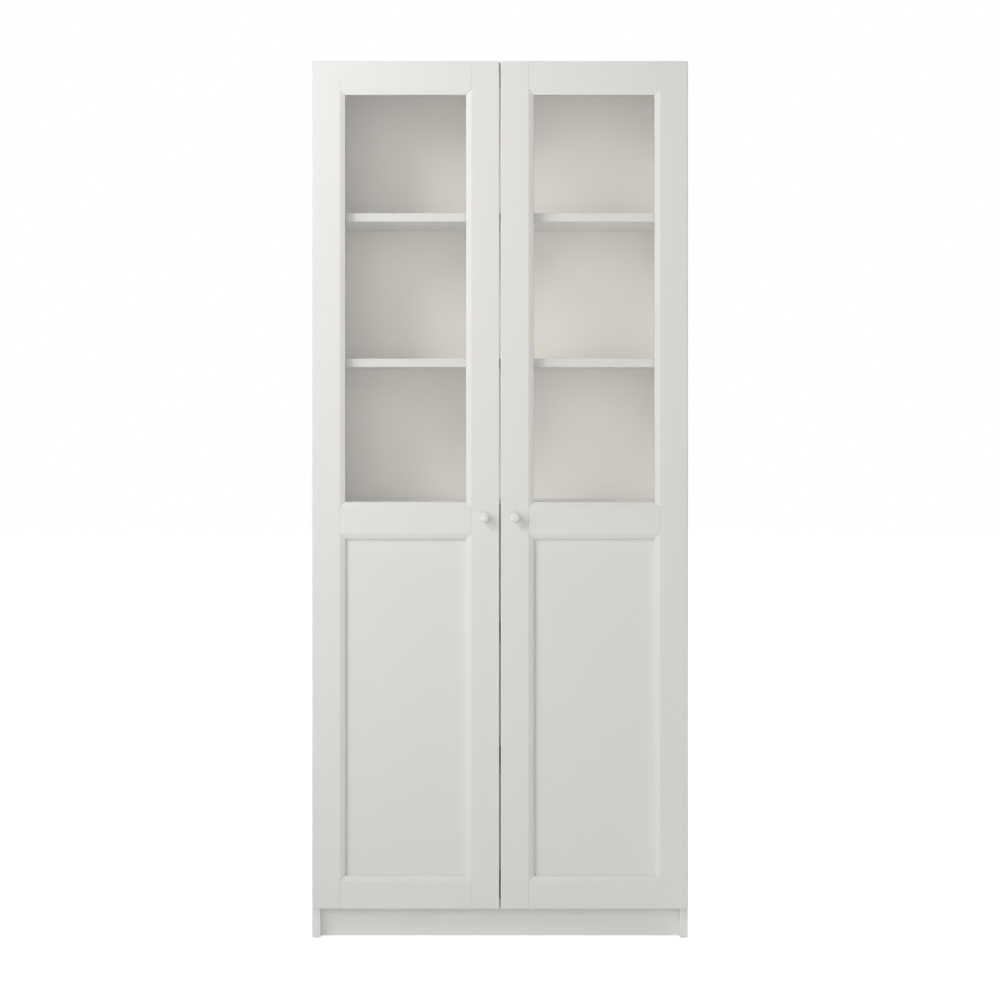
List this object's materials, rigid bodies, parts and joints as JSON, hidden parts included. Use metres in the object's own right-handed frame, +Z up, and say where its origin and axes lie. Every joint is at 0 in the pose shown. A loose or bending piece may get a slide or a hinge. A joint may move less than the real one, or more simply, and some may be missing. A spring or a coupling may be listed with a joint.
{
  "type": "glass-door bookcase",
  "caption": "Tall free-standing bookcase with fixed and adjustable shelves behind a pair of hinged framed doors, glazed above and panelled below.",
  "frame": {"origin": "middle of the outline at floor level", "axes": "+Z up, doors face -Y, +X to the right seen from the front"},
  "size_m": [0.8, 0.325, 1.865],
  "materials": {
    "white_foil_board": "satin white foil on particle board",
    "back_hardboard": "white painted hardboard",
    "door_lacquer": "satin white lacquer on fibreboard",
    "knob_lacquer": "satin white lacquer on turned wood",
    "clear_glass": "clear tempered glass",
    "beech_dowel": "plain beech",
    "white_plastic": "moulded white plastic",
    "clear_bumper": "clear soft plastic",
    "zinc_casting": "die-cast zinc",
    "nickel_steel": "nickel-plated steel"
  },
  "bodies": {
    "carcass": {"left_side_panel": "white_foil_board", "right_side_panel": "white_foil_board", "bottom_panel": "white_foil_board", "fixed_shelf": "white_foil_board", "top_panel": "white_foil_board", "adjustable_shelf_1": "white_foil_board", "adjustable_shelf_2": "white_foil_board", "adjustable_shelf_3": "white_foil_board", "adjustable_shelf_4": "white_foil_board", "plinth_board": "white_foil_board", "back_panel_left": "back_hardboard", "back_panel_right": "back_hardboard", "shelf_pins": "nickel_steel", "cam_locks": "zinc_casting", "cam_bolts": "nickel_steel", "carcass_dowels": "beech_dowel", "back_panel_nails": "nickel_steel", "foot_glides": "white_plastic", "wall_brackets": "white_plastic", "wall_bracket_screws": "nickel_steel", "door_bumpers": "clear_bumper", "left_hinge_arms": "nickel_steel", "left_hinge_plates": "nickel_steel", "left_hinge_plate_screws": "nickel_steel", "left_hinge_arm_screws": "nickel_steel", "right_hinge_arms": "nickel_steel", "right_hinge_plates": "nickel_steel", "right_hinge_plate_screws": "nickel_steel", "right_hinge_arm_screws": "nickel_steel"},
    "left_door": {"left_door_outer_stile": "door_lacquer", "left_door_inner_stile": "door_lacquer", "left_door_top_rail": "door_lacquer", "left_door_middle_rail": "door_lacquer", "left_door_bottom_rail": "door_lacquer", "left_door_panel": "door_lacquer", "left_door_glass": "clear_glass", "left_door_glazing_beads": "door_lacquer", "left_door_frame_dowels": "beech_dowel", "left_knob": "knob_lacquer", "left_knob_screw": "nickel_steel", "left_hinge_cups": "nickel_steel", "left_hinge_pins": "nickel_steel", "left_hinge_cup_screws": "nickel_steel"},
    "right_door": {"right_door_outer_stile": "door_lacquer", "right_door_inner_stile": "door_lacquer", "right_door_top_rail": "door_lacquer", "right_door_middle_rail": "door_lacquer", "right_door_bottom_rail": "door_lacquer", "right_door_panel": "door_lacquer", "right_door_glass": "clear_glass", "right_door_glazing_beads": "door_lacquer", "right_door_frame_dowels": "beech_dowel", "right_knob": "knob_lacquer", "right_knob_screw": "nickel_steel", "right_hinge_cups": "nickel_steel", "right_hinge_pins": "nickel_steel", "right_hinge_cup_screws": "nickel_steel"}
  },
  "joints": [
    {"name": "left_door_hinge", "type": "hinge", "parent": "carcass", "child": "left_door", "pos_m": [-0.391, -0.1295, 0.965], "axis": [0, 0, -1], "range_deg": [0, 105]},
    {"name": "right_door_hinge", "type": "hinge", "parent": "carcass", "child": "right_door", "pos_m": [0.391, -0.1295, 0.965], "axis": [0, 0, 1], "range_deg": [0, 105]}
  ]
}
